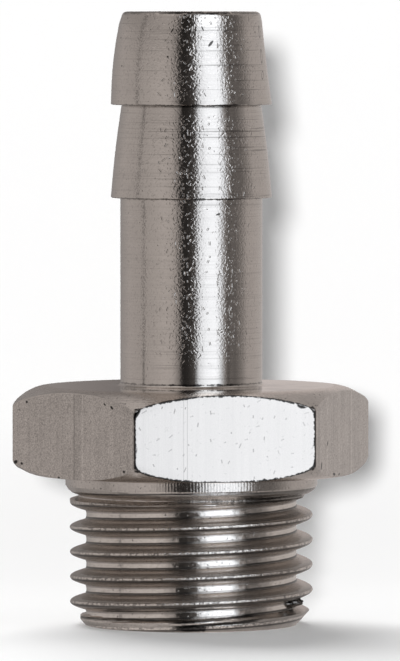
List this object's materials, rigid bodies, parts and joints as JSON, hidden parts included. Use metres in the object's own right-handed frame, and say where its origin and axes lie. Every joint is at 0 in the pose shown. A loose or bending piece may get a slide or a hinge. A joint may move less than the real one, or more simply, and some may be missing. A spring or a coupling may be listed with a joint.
{
  "type": "hose barb tail",
  "caption": "Nickel-plated brass hose tail: barbed stem for an 8 mm hose, spanner hex and G 1/4 male pipe thread, bored through.",
  "frame": {"origin": "centre of the threaded end face, on the fitting's axis", "axes": "+Z along the axis from the threaded end to the hose end; two spanner flats face +Y and -Y"},
  "size_m": [0.0196, 0.017, 0.033],
  "materials": {
    "nickel_plate": "satin"
  },
  "bodies": {
    "root": {"hose_barb_tail": "nickel_plate"}
  },
  "joints": []
}
